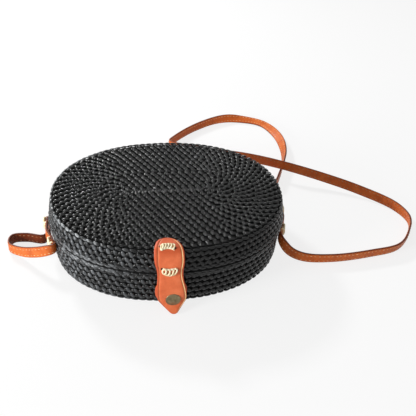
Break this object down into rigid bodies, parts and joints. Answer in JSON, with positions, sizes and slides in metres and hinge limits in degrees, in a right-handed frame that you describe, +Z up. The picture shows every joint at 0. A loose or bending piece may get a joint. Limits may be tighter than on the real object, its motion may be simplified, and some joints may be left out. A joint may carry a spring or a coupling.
{
  "type": "rattan bag",
  "caption": "Oval woven rattan bag with a hinged lid, a leather closure with a press stud, and a long leather shoulder strap sewn to its ends.",
  "frame": {"origin": "on the floor, at the middle of the base's flat underside", "axes": "+X along the oval's length, to the right as the closure is faced; -Y towards the closure; +Z up through the lid"},
  "size_m": [0.4442, 0.3714, 0.0697],
  "materials": {
    "rattan": "woven rattan stained black, with a dull shine",
    "lining": "plain dark cotton",
    "leather": "tan leather, worn smooth",
    "straw": "pale straw cord",
    "brass": "antique brass"
  },
  "bodies": {
    "base": {"base_shell": "rattan", "base_hoop": "rattan", "base_lining": "lining", "hinge_lashing_left": "rattan", "hinge_lashing_right": "rattan", "base_tab": "leather", "base_tab_stitch": "straw", "snap_stud": "brass", "snap_post": "brass", "strap_end_left": "leather", "strap_end_right": "leather", "strap_stitch_left_front": "straw", "strap_stitch_left_back": "straw", "strap_stitch_right_front": "straw", "strap_stitch_right_back": "straw", "shoulder_strap": "leather"},
    "lid": {"lid_shell": "rattan", "lid_hoop": "rattan", "lid_lining": "lining", "closure_tab": "leather", "tab_stitch_upper": "straw", "tab_stitch_lower": "straw"},
    "flap": {"closure_flap": "leather", "snap_cap": "brass", "snap_socket": "brass"}
  },
  "joints": [
    {"name": "lid_hinge", "type": "hinge", "parent": "base", "child": "lid", "pos_m": [0, 0.09953, 0.0404], "axis": [-1, 0, 0], "range_deg": [0, 110]},
    {"name": "flap_fold", "type": "hinge", "parent": "lid", "child": "flap", "pos_m": [-0.0084, -0.1018, 0.0424], "axis": [-1, 0, 0], "range_deg": [0, 100]}
  ]
}
